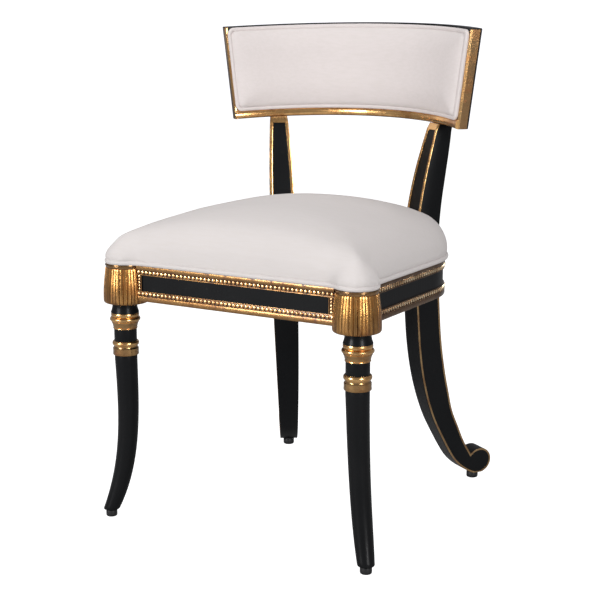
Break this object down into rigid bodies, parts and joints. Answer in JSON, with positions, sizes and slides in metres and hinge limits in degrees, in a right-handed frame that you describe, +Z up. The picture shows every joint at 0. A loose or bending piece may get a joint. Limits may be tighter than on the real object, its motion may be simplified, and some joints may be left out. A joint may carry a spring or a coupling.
{
  "type": "klismos dining chair",
  "caption": "Klismos dining chair with sabre legs, reeded corner drums, gilt beaded rails, a domed fabric seat and a curved padded back tablet.",
  "frame": {"origin": "on the floor under the middle of the chair's overall box", "axes": "+X to the chair's left-right axis, right when facing along +Y; the sitter faces -Y; +Z up"},
  "size_m": [0.5472, 0.5848, 0.8688],
  "materials": {
    "ebonised_wood": "satin black over close-grained hardwood",
    "gold_leaf": "rubbed gold leaf over reddish-brown clay on carved wood",
    "cream_fabric": "matt plain-woven cream upholstery cloth",
    "beech": "bare planed beech",
    "plywood": "bare birch plywood",
    "black_cambric": "thin matt dust-cover cloth",
    "black_nylon": "moulded nylon with a slight shine",
    "screw_steel": "zinc-plated"
  },
  "bodies": {
    "root": {"front_leg_right": "ebonised_wood", "front_leg_left": "ebonised_wood", "rear_leg_right": "ebonised_wood", "rear_leg_left": "ebonised_wood", "front_rail": "ebonised_wood", "side_rail_right": "ebonised_wood", "side_rail_left": "ebonised_wood", "back_rail": "ebonised_wood", "tablet_board": "ebonised_wood", "corner_drum_right": "gold_leaf", "corner_drum_left": "gold_leaf", "front_lower_moulding": "gold_leaf", "side_lower_moulding_right": "gold_leaf", "side_lower_moulding_left": "gold_leaf", "back_lower_moulding": "gold_leaf", "front_upper_moulding": "gold_leaf", "side_upper_moulding_right": "gold_leaf", "side_upper_moulding_left": "gold_leaf", "back_upper_moulding": "gold_leaf", "front_end_beads_right": "gold_leaf", "front_end_beads_left": "gold_leaf", "tablet_end_moulding_right": "gold_leaf", "tablet_end_moulding_left": "gold_leaf", "tablet_lower_moulding": "gold_leaf", "seat_cushion": "cream_fabric", "seat_welt": "cream_fabric", "rear_welt": "cream_fabric", "back_pad": "cream_fabric", "back_welt": "cream_fabric", "dowel_front_lower_right": "beech", "dowel_front_lower_left": "beech", "dowel_front_upper_right": "beech", "dowel_front_upper_left": "beech", "dowel_side_lower_right": "beech", "dowel_side_lower_left": "beech", "dowel_side_upper_right": "beech", "dowel_side_upper_left": "beech", "dowel_stile_side_lower_right": "beech", "dowel_stile_side_lower_left": "beech", "dowel_stile_side_upper_right": "beech", "dowel_stile_side_upper_left": "beech", "dowel_stile_back_lower_right": "beech", "dowel_stile_back_lower_left": "beech", "dowel_stile_back_upper_right": "beech", "dowel_stile_back_upper_left": "beech", "front_brace_right": "beech", "front_brace_left": "beech", "rear_brace_right": "beech", "rear_brace_left": "beech", "seat_deck": "plywood", "dust_cover": "black_cambric", "front_glide_right": "black_nylon", "front_glide_left": "black_nylon", "rear_glide_right": "black_nylon", "rear_glide_left": "black_nylon", "front_seat_screw_right": "screw_steel", "front_seat_screw_left": "screw_steel", "rear_seat_screw_right": "screw_steel", "rear_seat_screw_left": "screw_steel"}
  },
  "joints": []
}
